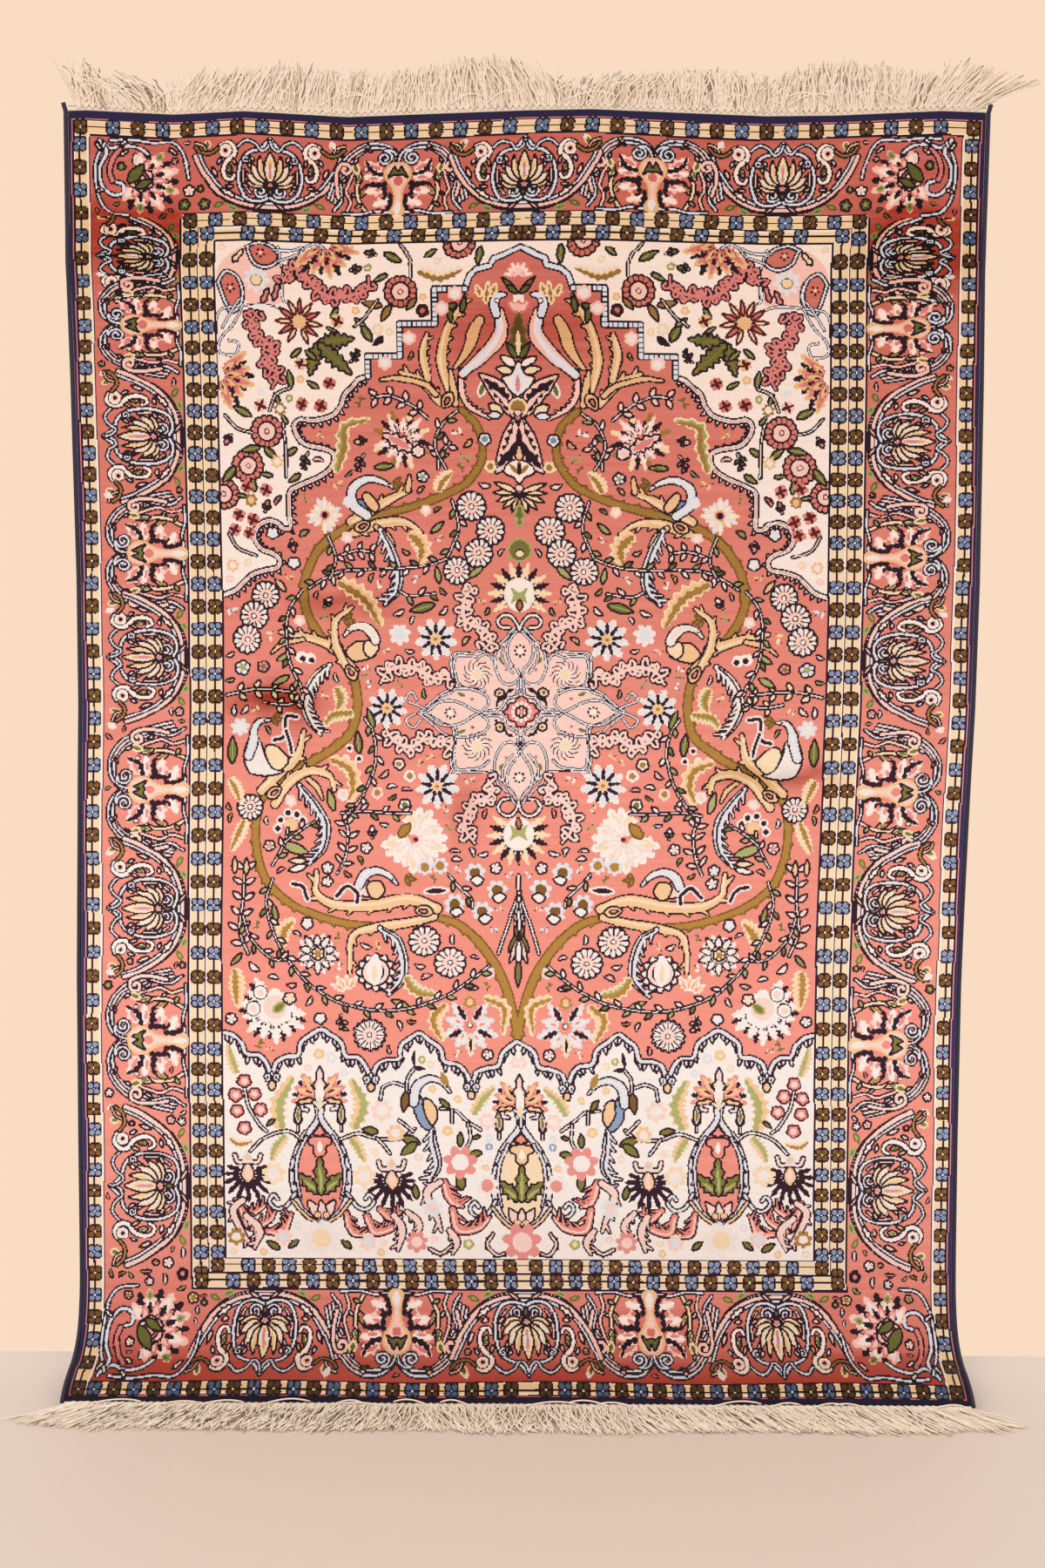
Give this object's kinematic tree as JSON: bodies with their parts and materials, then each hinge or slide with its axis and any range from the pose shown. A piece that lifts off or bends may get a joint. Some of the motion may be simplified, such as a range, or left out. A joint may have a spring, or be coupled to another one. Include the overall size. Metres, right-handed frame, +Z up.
{
  "type": "kashmir silk rug",
  "caption": "Hand-knotted silk rug with a prayer-niche garden pattern, hung by its top edge, its foot sweeping forward along the floor, fringed at both ends.",
  "frame": {"origin": "middle of the cloth's top edge in the plane of its back, where the rug is hung", "axes": "+Z up along the hanging rug, the face looks along -Y, +X to the right seen from the front"},
  "size_m": [1.3124, 0.2929, 1.7835],
  "materials": {
    "silk_pile": "cut silk pile with a soft directional sheen",
    "overcast_yarn": "matt navy overcast yarn",
    "fringe_cotton": "matt twisted cotton"
  },
  "bodies": {
    "root": {"cloth": "silk_pile", "selvedge_left": "overcast_yarn", "selvedge_right": "overcast_yarn", "fringe_upper": "fringe_cotton", "fringe_floor": "fringe_cotton"}
  },
  "joints": []
}
